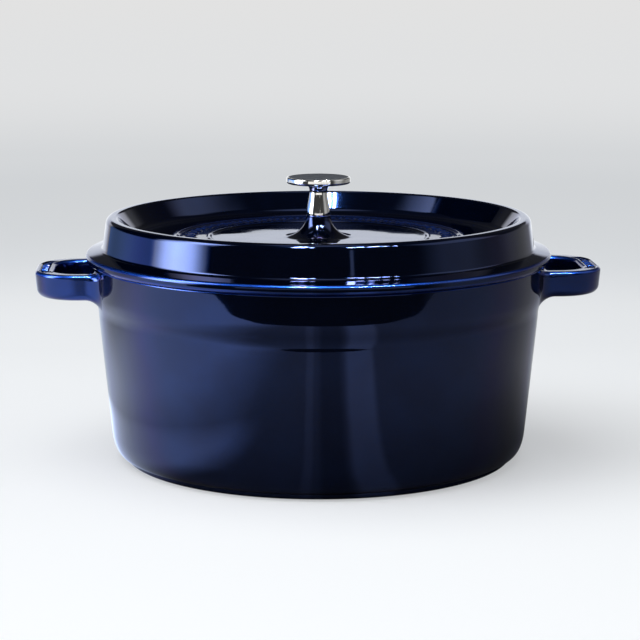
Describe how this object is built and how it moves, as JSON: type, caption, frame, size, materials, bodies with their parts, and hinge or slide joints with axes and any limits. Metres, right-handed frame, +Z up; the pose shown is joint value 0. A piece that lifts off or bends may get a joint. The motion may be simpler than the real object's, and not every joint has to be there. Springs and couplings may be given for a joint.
{
  "type": "dutch oven",
  "caption": "Round enamelled cast iron pot with cast loop handles and a lift-off crested lid with drip spikes and a screwed-on metal knob.",
  "frame": {"origin": "centre of the pot's foot, on the surface that the pot stands on", "axes": "+X through the two handles, +Z up along the pot's axis, towards the knob"},
  "size_m": [0.3612, 0.2972, 0.1796],
  "materials": {
    "enamel": "deep navy glossy enamel over cast iron, matte black enamel inside and on the rim",
    "knob_metal": "mirror polished nickel-plated steel",
    "fastener_steel": "satin stainless steel"
  },
  "bodies": {
    "pot": {"pot": "enamel"},
    "screw": {"knob_screw": "fastener_steel"},
    "lid": {"lid": "enamel", "knob": "knob_metal", "flat_washer": "fastener_steel", "spring_washer": "fastener_steel"}
  },
  "joints": [
    {"name": "lid_lift", "type": "slide", "parent": "pot", "child": "screw", "axis": [0, 0, 1], "range_m": [0, 0.15]},
    {"name": "lid_turn", "type": "hinge", "parent": "screw", "child": "lid", "pos_m": [0, 0, 0.1273], "axis": [0, 0, 1], "continuous": true}
  ]
}
